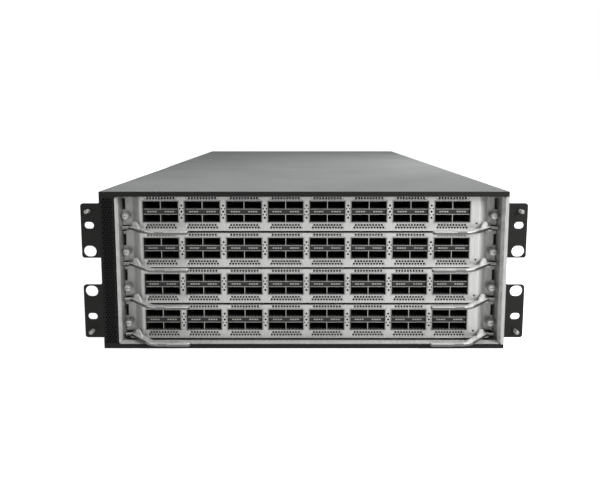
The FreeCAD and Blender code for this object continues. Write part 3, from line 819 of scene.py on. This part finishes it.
def left_thumbscrew(bm):
    """Knurled knob with a driver slot, a smooth collar and a threaded shank."""
    tip, plain, plain_run, start = SHANK
    sides = 2 * KNURLS
    centre = (face_low.x + SCREW_PLACE[0], 0, face_low.z + SCREW_PLACE[1])
    front = -screw_low.y
    back = -(face_low.y + FLANGE_SETBACK - KNOB_GAP)
    end = -screw_high.y
    add_lathe(bm, centre, FORWARD, [(knob_radius * r, back + d) for r, d in KNOB_COLLAR], sides)
    grip = [(knob_radius * r, back + d) for r, d in KNOB_GRIP] + [(knob_radius, front - KNOB_GRIP_END)]
    add_lathe(bm, centre, FORWARD, grip, sides, teeth=knurl)
    faces = add_lathe(bm, centre, FORWARD, [(knob_radius * r, front + d) for r, d in KNOB_CAP], sides)
    add_slot(bm, faces[-1])
    turns, along = thread(end + start, back - plain_run, *THREAD)
    shank = [(tip, end), *turns, (plain, along), (plain, back)]
    add_lathe(bm, centre, FORWARD, shank, ROUND_SIDES)


def add_slot(bm, face):
    """Open a driver slot across a round end face."""
    rim = list(face.verts)
    half = len(rim) // 2
    bmesh.ops.delete(bm, geom=[face], context="FACES_ONLY")
    bm.faces.new(rim[1:half])
    bm.faces.new(rim[half + 1:])
    ends = [rim[-1], rim[0], rim[1], rim[half - 1], rim[half], rim[half + 1]]
    floor = [bm.verts.new(vert.co + Vector((0, SLOT_DEPTH, 0))) for vert in ends]
    bridge(bm, ends, floor)
    bm.faces.new(floor)


knob_mesh = finish_mesh(left_thumbscrew, ["screw_steel"])
for end, mesh in (("left", knob_mesh), ("right", flipped(knob_mesh))):
    place_on_cards(end + "_knob", mesh, end + "_thumbscrew", body=end + "_screw_%d")


# Perforated column beside the cards

MESH = (3.2, 1.25)
COLUMN = (1.5, 1.4, 1.2)
BACKING = (3.2, 3.0, 0.6, 0.5)


def perforated_column(bm):
    thick, edge, wall_inset = COLUMN
    left, right, sheet, end = BACKING
    low, high = column_low, column_high
    middle = (low + high) / 2
    width = high.x - low.x - 2 * edge
    height = high.z - low.z - 2 * edge
    holes = staggered(middle.x, middle.z, width, height, *MESH)
    add_plate(bm, rectangle(low.x, high.x, low.z, high.z), holes, low.y, thick)
    for x in (low.x + thick, high.x - wall_inset - thick):
        add_box(bm, (x, low.y + thick, low.z), (x + thick, high.y, high.z))
    add_box(bm, (low.x + left, high.y - sheet, low.z + end), (high.x - right, high.y, high.z - end))


column_mesh = finish_mesh(perforated_column, ["column_coat"])
place("perforated_column", column_mesh, "root", ["vent_column"])


# Rear modules: cases with a cut rear plate and a loop handle

HANDLE_REACH = 22.0
HANDLE = (5.0, 1.5, 0.8)
HANDLE_WIDTH = 9.0
CASE_CORNER = 2.5
FAN_SHELL = 2.0
FAN_RADIUS = 56.0
GUARD = (8, 9.0, 4.5)
MOTOR = (36.0, 12.0, 3.0)
AXLE = ((3.0, -0.5), (3.0, 25.4), (2.4, 26.0))
FAN_HANDLE_INSET = 10.0
FAN_HANDLE_HEIGHT = 80.0
PSU_SHELL = 1.2
PSU_HANDLE_INSET = 9.0
PSU_HANDLE_HEIGHT = 31.0
INLET_WIDTH = 27.0
INLET_HEIGHT = 20.0
INLET_CUP = (1.0, 16.0, 0.6, 0.3, 2.0)
INLET_INSET = 10.0
PIN = (2.0, 11.0, 6.0, 7.0, 0.3)
GRILLE = (4.0, 1.75)
GRILLE_GAPS = (6.0, 5.0, 9.0)
SCREEN = (2.0, 9.0, 8.0, 3.0)
# Radius and height of a screw head with its driver socket, as shares of its radius
SCREW_FORM = ((1, 0), (1, 0.15), (0.8, 0.3), (0.42, 0.3), (0.36, 0.06))
PLATE_SCREW = 2.6
PLATE_SCREW_INSET = 6.5
LENS_SINK = 0.5
LENS_SIDES = 16
FAN_LENS_PLACE = (12.0, 7.0)
FAN_LENS = ((1.6, 0), (1.6, 0.7), (1.1, 1.1))
PSU_LENS_PLACE = (5.0, 6.0)
PSU_LENS = ((1.4, 0), (1.4, 0.7), (0.9, 1.0))
MODULE_FINISHES = ["module_case", "black_plastic", "screw_steel", "light_pipe"]
PLASTIC_PAINT = 1
STEEL_PAINT = 2
STATUS_PAINT = 3

fan_low, fan_high = node_box("fan_module_1")
psu_low, psu_high = node_box("power_supply_1")
fan_step = node_box("fan_module_2")[0].x - fan_low.x
psu_step = node_box("power_supply_2")[0].x - psu_low.x
rear_face = fan_high.y - HANDLE_REACH
fan_centre = (fan_low + fan_high) / 2


def add_handle(bm, x, z, height):
    """Loop of bar on the rear face, with x at its left side and z at its middle."""
    bar, corner, edge = HANDLE
    y0, y1 = rear_face, rear_face + HANDLE_REACH
    z0, z1 = z - height / 2, z + height / 2
    inner = bar + corner
    outline = ([(y0, z0)]
               + arc((y1 - bar, z0 + bar), bar, -90, 0, 6)
               + arc((y1 - bar, z1 - bar), bar, 0, 90, 6)
               + [(y0, z1), (y0, z1 - bar)]
               + arc((y1 - inner, z1 - inner), corner, 90, 0, 4)
               + arc((y1 - inner, z0 + inner), corner, 0, -90, 4)
               + [(y0, z0 + bar)])
    before = set(bm.faces)
    flat_bar(bm, outline, x, x + HANDLE_WIDTH, edge)
    made = set(bm.faces) - before
    paint_faces(made, PLASTIC_PAINT)
    for vert in {vert for face in made for vert in face.verts}:
        vert.co = Vector((vert.co.z, vert.co.x, vert.co.y))


def add_screw(bm, centre, axis, radius, paint=0):
    profile = [(radius * share, radius * rise) for share, rise in SCREW_FORM]
    add_lathe(bm, centre, axis, profile, SMALL_SIDES, paint)


def add_status_lens(bm, low, high, inset, profile):
    """Small lens near the upper left corner of a rear plate."""
    centre = (low.x + inset[0], rear_face - LENS_SINK, high.z - inset[1])
    add_lathe(bm, centre, BACKWARD, profile, LENS_SIDES, STATUS_PAINT)


def case_outlines(low, high, shell):
    """Outer and inner section of a module's case."""
    return (cut_corners(low.x, high.x, low.z, high.z, CASE_CORNER),
            cut_corners(low.x + shell, high.x - shell, low.z + shell, high.z - shell, CASE_CORNER / 2))


def fan_case(bm):
    """Open shell with a slotted guard that carries the motor."""
    size, length, corner = MOTOR
    rows, slot, bar = GUARD
    x, _, z = fan_centre
    guard = rear_face - FAN_SHELL
    front = fan_low.y
    outer, inner = case_outlines(fan_low, fan_high, FAN_SHELL)
    walls = [(outer, front), (outer, guard), (inner, guard), (inner, front), (outer, front)]
    add_case(bm, walls, closed=False)
    bmesh.ops.remove_doubles(bm, verts=bm.verts[:], dist=WELD)
    slots = []
    for row in range(rows):
        rise = (row - (rows - 1) / 2) * (slot + bar)
        reach = math.sqrt(FAN_RADIUS ** 2 - (abs(rise) + slot / 2) ** 2)
        slots.append(stadium(x, z + rise, reach, slot / 2))
    add_plate(bm, outer, slots, guard, FAN_SHELL)
    half = size / 2
    motor = guard - length
    block = cut_corners(x - half, x + half, z - half, z + half, corner)
    add_case(bm, [(block, guard), (block, motor)], PLASTIC_PAINT)
    add_lathe(bm, (x, motor, z), FORWARD, AXLE, ROUND_SIDES, STEEL_PAINT)
    add_handle(bm, fan_high.x - FAN_HANDLE_INSET - HANDLE_WIDTH, z, FAN_HANDLE_HEIGHT)
    inset = PLATE_SCREW_INSET
    for spot in rectangle(fan_low.x + inset, fan_high.x - inset, fan_low.z + inset, fan_high.z - inset):
        add_screw(bm, (spot[0], rear_face, spot[1]), BACKWARD, PLATE_SCREW, STEEL_PAINT)
    add_status_lens(bm, fan_low, fan_high, FAN_LENS_PLACE, FAN_LENS)


def power_case(bm):
    """Closed case with a perforated rear plate, a power inlet and a handle."""
    gap_left, gap_right, gap_ends = GRILLE_GAPS
    plate = rear_face - PSU_SHELL
    outer, inner = case_outlines(psu_low, psu_high, PSU_SHELL)
    add_case(bm, [(outer, psu_low.y), (outer, plate), (inner, plate), (inner, psu_low.y + PSU_SHELL)])
    middle = (psu_low.z + psu_high.z) / 2
    inlet = psu_low.x + INLET_INSET
    inlet_low = middle - INLET_HEIGHT / 2
    holes = [rectangle(inlet, inlet + INLET_WIDTH, inlet_low, inlet_low + INLET_HEIGHT)]
    handle = psu_high.x - PSU_HANDLE_INSET - HANDLE_WIDTH
    left = inlet + INLET_WIDTH + gap_left
    right = handle - gap_right
    height = psu_high.z - psu_low.z - gap_ends
    holes += staggered((left + right) / 2, middle, right - left, height, *GRILLE)
    add_plate(bm, outer, holes, plate, PSU_SHELL)
    # Dark screen behind the grille
    past, deep, shallow, inset = SCREEN
    add_box(bm, (left - past, plate - deep, psu_low.z + inset),
            (right + past, plate - shallow, psu_high.z - inset), PLASTIC_PAINT)
    add_inlet(bm, inlet, inlet_low)
    add_handle(bm, handle, middle, PSU_HANDLE_HEIGHT)
    add_status_lens(bm, psu_low, psu_high, PSU_LENS_PLACE, PSU_LENS)
    screw = (psu_low.x + PSU_LENS_PLACE[0], rear_face, psu_low.z + PSU_LENS_PLACE[1])
    add_screw(bm, screw, BACKWARD, PLATE_SCREW, STEEL_PAINT)


def add_inlet(bm, x, z):
    """Plastic cup with three flat pins, its lower left corner at (x, z)."""
    wall, depth, rise, corner, mouth_corner = INLET_CUP
    x1, z1 = x + INLET_WIDTH, z + INLET_HEIGHT
    floor = rear_face - depth
    lip = rear_face + rise
    mouth = cut_corners(x + wall, x1 - wall, z + wall, z1 - wall, mouth_corner)
    outer = cut_corners(x, x1, z, z1, corner)
    add_case(bm, [(outer, floor - wall), (outer, lip), (mouth, lip), (mouth, floor)], PLASTIC_PAINT)
    middle = (z + z1) / 2
    width, length, height, pitch, root = PIN
    for i in (-1, 0, 1):
        left = (x + x1 - width) / 2 + i * pitch
        add_box(bm, (left, floor - root, middle - height / 2),
                (left + width, floor + length, middle + height / 2), STEEL_PAINT)


fan_mesh = finish_mesh(fan_case, MODULE_FINISHES)
power_mesh = finish_mesh(power_case, MODULE_FINISHES)
place_row("fan_case_%d", fan_mesh, "fan_%d", "fan_module_%d", FANS, (fan_step, 0, 0))
place_row("power_case_%d", power_mesh, "psu_%d", "power_supply_%d", POWER_SUPPLIES,
          (psu_step, 0, 0))


# Fan rotors with twisted, cambered blades

BLADES = 7
BLADE = (24.0, 38.0, 10.0, 1.5, 1.6, 1.0, 0.4, 0.1)
BLADE_STEPS = (8, 6)
HUB_RADIUS = 20.0
HUB = (2.5, 0.4, 48, 3.1)
rotor_low, rotor_high = node_box("fan_rotor_1")


def add_blade(bm, turn):
    width, lean, twist, camber, sheet, root, past, taper = BLADE
    outward, along = BLADE_STEPS
    grid = []
    for i in range(outward + 1):
        share = i / outward
        radius = HUB_RADIUS - root + (FAN_RADIUS - HUB_RADIUS + past) * share
        pitch = math.radians(lean + twist * (0.5 - share))
        half = width / 2 * (1 - taper * share * share)
        row = []
        for j in range(along + 1):
            chord = -1 + 2 * j / along
            lift = camber * (1 - chord * chord)
            point = Vector((radius, half * chord * math.cos(pitch) - lift * math.sin(pitch),
                            half * chord * math.sin(pitch) + lift * math.cos(pitch)))
            row.append(bm.verts.new(turn @ point))
        grid.append(row)
    faces = [bm.faces.new((near[j], near[j + 1], far[j + 1], far[j]))
             for near, far in zip(grid, grid[1:]) for j in range(along)]
    bmesh.ops.solidify(bm, geom=faces, thickness=sheet)


def fan_rotor(bm):
    corner, dish, sides, bore = HUB
    for i in range(BLADES):
        add_blade(bm, Matrix.Rotation(2 * math.pi * i / BLADES, 3, "Y"))
    half = (rotor_high.y - rotor_low.y) / 2
    edge = HUB_RADIUS - corner
    hub = [(bore, -half + dish), (edge, -half), (HUB_RADIUS, -half + corner),
           (HUB_RADIUS, half - corner), (edge, half), (bore, half - dish)]
    add_lathe(bm, (0, 0, 0), BACKWARD, hub, sides)
    centre = Vector((fan_centre.x, (rotor_low.y + rotor_high.y) / 2, fan_centre.z))
    bmesh.ops.translate(bm, vec=centre, verts=bm.verts[:])


rotor_mesh = finish_mesh(fan_rotor, ["black_plastic"])
place_row("bladed_rotor_%d", rotor_mesh, "rotor_%d", "fan_rotor_%d", FANS, (fan_step, 0, 0))


# Card boards, with places measured from the back of the cages

BOARD_SHEET = 2.0
BOARD_REAR = 2.0
REAR_PLUGS = (3, 60.0, 12.0)
BOARD_FINISHES = ["circuit_board", "heatsink_metal", "chip_case", "screw_steel", "ceramic"]
SINK_PAINT = 1
CHIP_PAINT = 2
CAN_PAINT = 3
CERAMIC_PAINT = 4
SINK_BASE = 3.0
FIN_SINK = 0.1
FIN_START = 0.25
FIN_SHARE = 0.4
# Distance behind the cages, width, height and number of fins
PORT_SINK = (24.0, 26.0, 11.0, 8)
MAIN_SINK = (125.0, 84.0, 24.0, 21)
MAIN_SINK_REACH = 95.0
CHIP_REACH = 22.0
CHIP_ROWS = (95.0, 140.0)
CHIP = (30.0, 30.0, 2.4, CHIP_PAINT)
# Rows of small components: margin, number, distance behind the cages, width, depth, height, paint
SMALL_PARTS = ((10, 40, 47, 4.2, 2.2, 1.4, CERAMIC_PAINT), (12, 26, 56, 7.0, 5.0, 1.6, CHIP_PAINT),
               (10, 48, 65, 2.6, 1.6, 1.0, CERAMIC_PAINT), (20, 14, 190, 13.0, 13.0, 6.0, CHIP_PAINT),
               (10, 44, 206, 3.6, 2.0, 1.3, CERAMIC_PAINT))
CANS = 12
CAN_MARGIN = 24.0
CAN_ROW = 222.0
CAN_FORM = ((4.2, 0), (4.2, 0.8), (3.9, 1.2), (4.0, 9.4), (3.5, 9.9))
board_low, board_high = node_box("card_1_board")
board_top = board_low.z + BOARD_SHEET


def add_slab(bm, x, back, width, depth, height, paint):
    """Block on the board with its middle at x and a distance behind the cages."""
    y = cage_high.y + back
    add_box(bm, (x - width / 2, y - depth / 2, board_top),
            (x + width / 2, y + depth / 2, board_top + height), paint)


def add_heat_sink(bm, x, back, size, height, fins):
    """Base plate with upright fins that run front to back."""
    add_slab(bm, x, back, size, size, SINK_BASE, SINK_PAINT)
    y = cage_high.y + back
    pitch = size / fins
    for i in range(fins):
        fin = x - size / 2 + (i + FIN_START) * pitch
        add_box(bm, (fin, y - size / 2, board_top + SINK_BASE - FIN_SINK),
                (fin + pitch * FIN_SHARE, y + size / 2, board_top + height), SINK_PAINT)


def card_board(bm):
    plugs, width, depth = REAR_PLUGS
    x0, x1 = board_low.x, board_high.x
    add_box(bm, board_low, (x1, board_high.y - BOARD_REAR, board_top))
    step = (x1 - x0) / plugs
    for i in range(plugs):
        start = x0 + step * (i + 0.5) - width / 2
        add_box(bm, (start, board_high.y - depth, board_top),
                (start + width, board_high.y, board_high.z), CHIP_PAINT)
    for x in group_places:
        add_heat_sink(bm, x, *PORT_SINK)
    for x in (card_middle - MAIN_SINK_REACH, card_middle + MAIN_SINK_REACH):
        add_heat_sink(bm, x, *MAIN_SINK)
    for x in (card_middle - CHIP_REACH, card_middle + CHIP_REACH):
        for back in CHIP_ROWS:
            add_slab(bm, x, back, *CHIP)
    for margin, count, *slab in SMALL_PARTS:
        for i in range(count):
            add_slab(bm, x0 + margin + (x1 - x0 - 2 * margin) * (i + 0.5) / count, *slab)
    for x in spread(x0 + CAN_MARGIN, x1 - CAN_MARGIN, CANS):
        add_lathe(bm, (x, cage_high.y + CAN_ROW, board_top), UP, CAN_FORM, SMALL_SIDES, CAN_PAINT)


place_on_cards("fitted_board", finish_mesh(card_board, BOARD_FINISHES), "board")


# Fasteners of the cover, the sides and the ears

COVER_SCREWS = (3.1, 0.4, 9.0, 7)
SIDE_SCREWS = ((14.0, 160.0), 70.0, 6)
EAR_SCREWS = (2.0, 3.4, (-19.0, 0.0, 19.0), 12.0)
BARE_PAINT = 1


def screws(bm):
    sheet, ear_radius, rises, ear_back = EAR_SCREWS
    levels, start, side_rows = SIDE_SCREWS
    radius, sink, inset, rows = COVER_SCREWS
    front, back = cover_low.y, cover_high.y - 2 * inset
    for x in (cover_low.x + inset, cover_high.x - inset):
        for y in spread(front + 2 * inset, back, rows):
            add_screw(bm, (x, y, cover_high.z - sink), UP, radius)
    for end, x, way in (("left", cover_low.x, -1), ("right", cover_high.x, 1)):
        sideways = (way, 0, 0)
        for y in spread(front + start, back, side_rows):
            for z in levels:
                add_screw(bm, (x, y, z), sideways, radius, BARE_PAINT)
        for level in ("upper", "lower"):
            low, high = node_box("%s_%s_ear" % (end, level))
            y = high.y - ear_back
            for rise in rises:
                centre = (x + way * sheet, y, (low.z + high.z) / 2 + rise)
                add_screw(bm, centre, sideways, ear_radius, BARE_PAINT)


place("cover_and_ear_screws", finish_mesh(screws, ["cover_sheet", "screw_steel"]), "root")


# Strips painted light on both sides of the card bay, standing for light on inner faces in shade

STRIP = (0.25, 0.2, 11.0, 1.0, 1.5)
WALL_INNER = 217.7


def wear_strips(bm):
    """Thin upright strips on the column and on the right guide wall, painted light over faces in shade."""
    sheet, front, depth, end, corner = STRIP
    z0, z1 = column_low.z + end, column_high.z - end
    y0 = column_low.y + front
    outline = cut_corners(y0, y0 + depth, z0, z1, corner)
    for x in (column_high.x, WALL_INNER - sheet):
        add_skin(bm, [[(side, y, z) for y, z in outline] for side in (x, x + sheet)])


place("wear_strips", finish_mesh(wear_strips, ["lever_top"]), "root")


# Studs on the ears and the strip along the sill

STUD = (2.25, 0.9, 0.25, 1.2, 1.6)
# Radius of the rounded end as a share of the stud's, and distance from its tip
STUD_TIP = ((0.95, 0.7), (0.7, 0.15), (0.35, 0.0))
SILL = (4.5, 0.3, 0.2, 9.6, 0.3)
SILL_SLOTS = (6.5, 8.0, 2.0)
SILL_SLOT = (2.1, 0.7, 3)

stud_low, stud_high = node_box("ear_studs")


def ear_studs(bm):
    """Rounded threaded studs, one on each ear."""
    radius, pitch, depth, start, plain_end = STUD
    length = stud_high.y - stud_low.y
    turns, along = thread(start, length - plain_end, radius, radius - depth, pitch)
    tip = [(radius * share, length - back) for share, back in STUD_TIP]
    profile = [(radius, 0.0), *turns, (radius, along), *tip]
    for x in (stud_low.x + radius, stud_high.x - radius):
        for z in (stud_low.z + radius, stud_high.z - radius):
            add_lathe(bm, (x, stud_high.y, z), FORWARD, profile, ROUND_SIDES)


def sill_strip(bm):
    """Strip on the sill with a row of slots near its back edge, painted light against the shade that the
    cards cast on the sill.
    """
    pitch, margin, inset = SILL_SLOTS
    top, sheet, front, depth, gap = SILL
    x0, x1 = column_high.x + gap, face_high.x
    count = int((x1 - x0 - margin) / pitch)
    start = (x0 + x1 - (count - 1) * pitch) / 2
    slots = [stadium(start + i * pitch, depth - inset, *SILL_SLOT) for i in range(count)]
    add_plate(bm, rectangle(x0, x1, front, depth), slots, 0, sheet)
    for vert in bm.verts:
        vert.co = Vector((vert.co.x, cover_low.y + vert.co.z, top + sheet - vert.co.y))


place("sill_strip", finish_mesh(sill_strip, ["lever_top"]), "root")
place("threaded_ear_studs", finish_mesh(ear_studs, ["dull_steel"]), "root", ["ear_studs"])


# Camera, light and floor, in metres apart from the camera's place

CAMERA_PLACE = (-4.4, -961.5, 251.5)
CAMERA_DOWN = 6.10
CAMERA = {"lens": 32.51, "sensor_width": 36.0, "shift_y": -0.12, "clip_start": 0.01}
AMBIENT_COLOUR = (0.95, 0.97, 1.0, 1)
AMBIENT_LEVEL = 0.3
WHITE = (1, 1, 1, 1)
FLOOR_HALF = 6.0
FLOOR_DROP = 0.0005
FLOOR_COLOUR = (0.82, 0.82, 0.82, 1)
FLOOR_GLOW = 0.82

scene = bpy.context.scene
camera = bpy.data.objects.new("camera", bpy.data.cameras.new("camera"))
scene.collection.objects.link(camera)
camera.location = Vector(CAMERA_PLACE) * MM
camera.rotation_euler = (math.radians(90 - CAMERA_DOWN), 0, 0)
for setting, value in CAMERA.items():
    setattr(camera.data, setting, value)
bpy.context.scene.camera = camera
bpy.context.scene.view_settings.view_transform = "Standard"


def lamp(name, spot, aim, size, power):
    light = bpy.data.lights.new(name, "AREA")
    light.shape = "RECTANGLE"
    light.size, light.size_y = size
    light.energy = power
    obj = bpy.data.objects.new(name, light)
    scene.collection.objects.link(obj)
    obj.location = spot
    obj.rotation_euler = (Vector(aim) - Vector(spot)).to_track_quat("-Z", "Y").to_euler()
    obj.visible_camera = False


lamp("key", (0.75, -1.05, 0.62), (0.15, -0.37, 0.1), (0.5, 0.5), 11)
lamp("fill", (-1.3, -1.3, 0.5), (-0.1, -0.37, 0.09), (0.9, 0.9), 1.5)
lamp("top right", (0.42, 0.0, 0.45), (0.2, 0.0, 0.175), (0.15, 0.8), 2.8)
lamp("top front", (-0.12, -0.34, 0.45), (-0.12, -0.34, 0.17), (0.4, 0.08), 0.35)
lamp("back", (-0.6, 2.0, 0.3), (0, 0.3, 0.1), (1.4, 0.5), 8)


def white_to_rays(tree, output, plain, bright):
    """Show the plain shader, but the bright one to camera, glossy and transmission rays."""
    path = add_node(tree, "LightPath").outputs
    seen = path["Is Camera Ray"]
    for kind in ("Is Glossy Ray", "Is Transmission Ray"):
        either = add_node(tree, "Math", {0: seen, 1: path[kind]})
        either.operation = "MAXIMUM"
        seen = either.outputs[0]
    mix = add_node(tree, "MixShader", {"Fac": seen, 1: plain, 2: bright})
    feed(tree, output, {"Surface": mix.outputs["Shader"]})


world = bpy.data.worlds.new("studio")
world.use_nodes = True
scene.world = world
tree = world.node_tree
ambient = tree.nodes["Background"]
feed(tree, ambient, {"Color": AMBIENT_COLOUR, "Strength": AMBIENT_LEVEL})
backdrop = add_node(tree, "Background", {"Color": WHITE, "Strength": 1.0})
white_to_rays(tree, tree.nodes["World Output"], ambient.outputs["Background"],
              backdrop.outputs["Background"])

floor_mesh = bpy.data.meshes.new("floor")
corners = [(x, y, 0) for x, y in rectangle(-FLOOR_HALF, FLOOR_HALF, -FLOOR_HALF, FLOOR_HALF)]
floor_mesh.from_pydata(corners, [], [(0, 1, 2, 3)])
floor = bpy.data.objects.new("floor", floor_mesh)
scene.collection.objects.link(floor)
floor.location.z = -FLOOR_DROP
pale = bpy.data.materials.new("pale_floor")
pale.use_nodes = True
tree = pale.node_tree
tree.nodes.clear()
matt = add_node(tree, "BsdfDiffuse", {"Color": FLOOR_COLOUR}).outputs["BSDF"]
glow = add_node(tree, "Emission", {"Strength": FLOOR_GLOW}).outputs["Emission"]
lit = add_node(tree, "AddShader", {0: matt, 1: glow}).outputs["Shader"]
white_to_rays(tree, add_node(tree, "OutputMaterial"), matt, lit)
floor_mesh.materials.append(pale)
